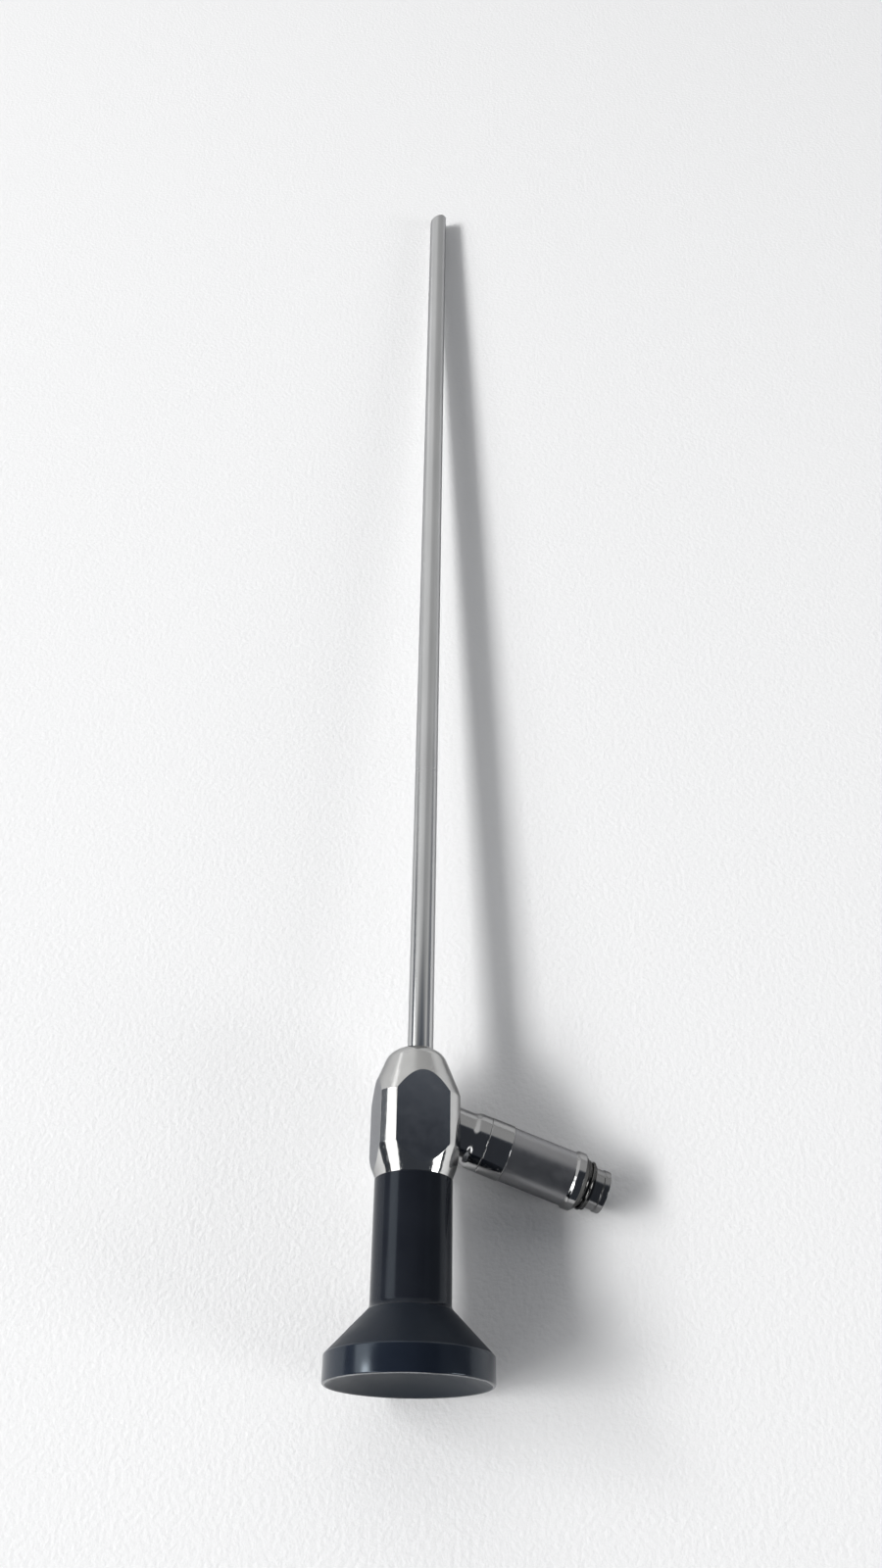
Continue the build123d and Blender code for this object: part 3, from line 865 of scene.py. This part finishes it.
def thread_tree():
    """Geometry nodes for a screw thread: a ridge swept along a helix and thinned at its ends."""
    tree = bpy.data.node_groups.new("screw_thread", "GeometryNodeTree")
    tree.interface.new_socket("Geometry", in_out="OUTPUT", socket_type="NodeSocketGeometry")
    for label in ("Turns", "Pitch", "Root Radius", "Ridge Height", "Ridge Width"):
        tree.interface.new_socket(label, in_out="INPUT", socket_type="NodeSocketFloat")
    tree.interface.new_socket("Material", in_out="INPUT", socket_type="NodeSocketMaterial")
    nodes = tree.nodes
    sizes = nodes.new("NodeGroupInput").outputs
    result = nodes.new("NodeGroupOutput")

    def link(source, target):
        tree.links.new(source, target)

    def times(first, second):
        return maths(tree, "MULTIPLY", first, second)

    helix = nodes.new("GeometryNodeCurveSpiral")
    helix.inputs["Resolution"].default_value = 72
    link(sizes["Turns"], helix.inputs["Rotations"])
    link(sizes["Root Radius"], helix.inputs["Start Radius"])
    link(sizes["Root Radius"], helix.inputs["End Radius"])
    link(times(sizes["Turns"], sizes["Pitch"]), helix.inputs["Height"])

    upright = nodes.new("GeometryNodeSetCurveNormal")
    upright.mode = "Z_UP"
    link(helix.outputs["Curve"], upright.inputs["Curve"])

    along = nodes.new("GeometryNodeSplineParameter").outputs["Factor"]
    from_end = maths(tree, "MINIMUM", along, maths(tree, "SUBTRACT", 1.0, along))
    thinned = maths(tree, "MINIMUM", maths(tree, "ADD", times(from_end, 9.0), 0.15), 1.0)

    ridge = nodes.new("GeometryNodeCurvePrimitiveCircle")
    ridge.inputs["Resolution"].default_value = 14
    ridge.inputs["Radius"].default_value = 1.0
    flattened = nodes.new("GeometryNodeTransform")
    size = nodes.new("ShaderNodeCombineXYZ")
    link(sizes["Ridge Height"], size.inputs["X"])
    link(times(sizes["Ridge Width"], 0.5), size.inputs["Y"])
    link(ridge.outputs["Curve"], flattened.inputs["Geometry"])
    link(size.outputs["Vector"], flattened.inputs["Scale"])

    sweep = nodes.new("GeometryNodeCurveToMesh")
    sweep.inputs["Fill Caps"].default_value = True
    link(upright.outputs["Curve"], sweep.inputs["Curve"])
    link(thinned, sweep.inputs["Scale"])
    link(flattened.outputs["Geometry"], sweep.inputs["Profile Curve"])
    whole = nodes.new("GeometryNodeRealizeInstances")
    link(sweep.outputs["Mesh"], whole.inputs["Geometry"])
    finish = nodes.new("GeometryNodeSetMaterial")
    link(whole.outputs["Geometry"], finish.inputs["Geometry"])
    link(sizes["Material"], finish.inputs["Material"])
    link(finish.outputs["Geometry"], result.inputs["Geometry"])
    return tree


def from_tree(name, tree, **sizes):
    """The plain mesh that a geometry nodes tree makes from the named sizes."""
    blank = bpy.data.objects.new(name + "_blank", bpy.data.meshes.new(name + "_blank"))
    bpy.context.scene.collection.objects.link(blank)
    modifier = blank.modifiers.new("nodes", "NODES")
    modifier.node_group = tree
    sockets = {s.name: s.identifier for s in tree.interface.items_tree if s.in_out == "INPUT"}
    for label, value in sizes.items():
        modifier[sockets[label.replace("_", " ")]] = value
    evaluated = blank.evaluated_get(bpy.context.evaluated_depsgraph_get())
    mesh = bpy.data.meshes.new_from_object(evaluated)
    blank.modifiers.remove(modifier)
    bpy.data.objects.remove(blank)
    mesh.name = name
    obj = bpy.data.objects.new(name, mesh)
    bpy.context.scene.collection.objects.link(obj)
    return obj


def make_thread():
    """The nipple's thread ridge, set from its own upright frame onto the post."""
    ridge = THREAD_R - THREAD_ROOT_R
    # The ridge takes the dark thread steel: partly tarnish, partly painted shade
    piece = from_tree("nipple_thread", thread_tree(), Turns=float(THREAD_TURNS),
                      Pitch=THREAD_PITCH * MM, Root_Radius=THREAD_ROOT_R * MM,
                      Ridge_Height=ridge * MM, Ridge_Width=THREAD_PITCH * RIDGE_SHARE * MM,
                      Material=tarnish_and_shade_steel)
    start = post.point(SLEEVE_END, 0, 0) * MM
    turned = Matrix((post.side, post.along.cross(post.side), post.along)).transposed().to_4x4()
    piece.data.transform(Matrix.Translation(start) @ turned)
    for polygon in piece.data.polygons:
        polygon.use_smooth = True
    outward(piece)
    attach(piece, "root")


make_eyepiece_cup()
make_eyepiece_window()
make_body()
make_shaft()
make_post_base()
make_lock_ring()
make_sleeve()
make_nipple()
make_thread()


# Finishes of the CAD pieces that stay

NODE_FINISH = {
    "optical_glass": lens_glass,
    "black_metal": black_metal,
    "brass": brass,
    "satin_steel": inner_steel,
    "shaft_steel": inner_steel,
    "polished_steel": inner_steel,
    "fibre": fibre_glue,
    "black_shell": black_metal,
}
for entry in frame["record"]["subparts"]:
    piece = frame["nodes"][entry["node"]]
    piece.data.materials.clear()
    piece.data.materials.append(NODE_FINISH[entry["material_slot"]])


# Floor, light and camera

def make_floor():
    """Pale matt floor with a fine grain."""
    made, shader = material("pale_floor", (0.88, 0.878, 0.875), 0.0, 0.6)
    grain = stretched_noise(made, "Object", EVEN, 900.0, 4.0)
    bump(made, shader, grain.outputs["Fac"], 0.4, 0.0004)
    half = 3000.0
    corners = ((-half, -half), (half, -half), (half, half), (-half, half))
    verts = [Vector((x, y, 0)) for x, y in corners]
    floor = mesh_object("floor", verts, [(0, 1, 2, 3)], materials=[made])


def make_world():
    """A room that is pale in front, dark overhead and behind, and dim at the sides."""
    world = bpy.data.worlds.new("soft_room")
    bpy.context.scene.world = world
    world.use_nodes = True
    nodes = world.node_tree.nodes
    links = world.node_tree.links

    def fade(socket, start, end, low, high):
        return ranged(world, socket, low, high, start, end, "SMOOTHSTEP")

    def combine(operation, first, second):
        return maths(world.node_tree, operation, first, second)

    def greys(socket, stops):
        ramp = nodes.new("ShaderNodeValToRGB")
        for element, (place, grey) in zip(ramp.color_ramp.elements, (stops[0], stops[-1])):
            element.position = place
            element.color = (grey, grey, grey, 1)
        for place, grey in stops[1:-1]:
            ramp.color_ramp.elements.new(place).color = (grey, grey, grey, 1)
        links.new(socket, ramp.inputs["Fac"])
        return ramp.outputs["Color"]

    x, y, z = coordinates(world, "Generated")
    ceiling_slope = 0.54
    least_glow = 0.06
    ceiling_edge = combine("SUBTRACT", y, combine("MULTIPLY", z, ceiling_slope))
    front = greys(ranged(world, ceiling_edge, 0.0, 1.0, -0.15, 0.10),
                  ((0.18, 0.0), (0.30, 0.26), (0.50, 0.34), (0.80, 1.0)))
    across = greys(combine("MULTIPLY", combine("ADD", x, 1.0), 0.5),
                   ((0.07, 0.2), (0.15, 0.93), (0.45, 0.88), (0.55, 0.57), (0.75, 0.52),
                    (0.87, 0.64), (0.91, 0.24)))
    wall = combine("MULTIPLY", across, front)
    side = combine("MULTIPLY", fade(z, 0.68, 0.78, 1.0, 0.0), fade(y, -0.35, -0.1, 0.0, 0.2))
    bright = combine("MAXIMUM", combine("MAXIMUM", wall, side), least_glow)
    tint = nodes.new("ShaderNodeMix")
    tint.data_type = "RGBA"
    tint.inputs["A"].default_value = (0.90, 1.0, 1.2, 1)
    tint.inputs["B"].default_value = (1.0, 1.0, 1.0, 1)
    links.new(fade(bright, 0.05, 0.4, 0.0, 1.0), tint.inputs["Factor"])
    back = nodes["Background"]
    links.new(tint.outputs["Result"], back.inputs["Color"])
    links.new(bright, back.inputs["Strength"])


def make_window(name, middle, width, height, radiance, mirrored=True):
    """A bright upright panel that faces the scope's body. Its middle is given in metres from the
    floor under the body. A panel that isn't mirrored only lights and shows in no gloss."""
    body = scope_origin + tip_dir * BODY_REAR_CORNER
    under_body = Vector((body.x, body.y, 0)) * MM
    data = bpy.data.lights.new(name, "AREA")
    data.shape = "RECTANGLE"
    data.size = width
    data.size_y = height
    data.energy = radiance * math.pi * width * height
    light = bpy.data.objects.new(name, data)
    bpy.context.scene.collection.objects.link(light)
    light.location = under_body + Vector(middle)
    level = Vector((middle[0], middle[1], 0))
    light.rotation_euler = level.to_track_quat("Z", "Y").to_euler()
    light.visible_glossy = mirrored


def make_camera():
    """The photograph's camera, by its place in millimetres, its turns and its focal length."""
    focal_px = 1225.2
    tall_px = 1600
    film = 36.0
    place = Vector((0.767, -214.901, 260.18))
    tilt, yaw, roll = 32.41, 1.646, -0.375
    data = bpy.data.cameras.new("photo_camera")
    data.sensor_fit = "VERTICAL"
    data.sensor_height = film
    data.sensor_width = film
    data.lens = film * focal_px / tall_px
    data.clip_start = 0.005
    camera = bpy.data.objects.new("photo_camera", data)
    bpy.context.scene.collection.objects.link(camera)
    turn = (Matrix.Rotation(math.radians(tilt), 4, "X")
            @ Matrix.Rotation(math.radians(yaw), 4, "Y")
            @ Matrix.Rotation(math.radians(roll), 4, "Z"))
    camera.matrix_world = Matrix.Translation(place * MM) @ turn
    bpy.context.scene.camera = camera


make_floor()
make_world()
bpy.context.scene.view_settings.view_transform = "Standard"

# Bright panels round the scope: what its gloss shows, and a key light for its shadow
make_window("left_window", (-2.91, -1.17, 2.12), 4.47, 1.92, 2.6)
make_window("left_window_end", (-2.93, 1.14, 2.2), 0.8, 1.99, 2.6)
make_window("left_lamp", (-2.98, -0.42, 2.14), 1.05, 0.78, 13.0)
make_window("left_key", (-2.96, -0.3, 2.16), 3.3, 0.78, 16.0, mirrored=False)
make_window("front_gap", (-1.63, 2.52, 0.35), 0.26, 0.55, 1.2)
make_window("right_window", (1.88, -0.68, 0.70), 0.7, 0.71, 8.0)
make_camera()
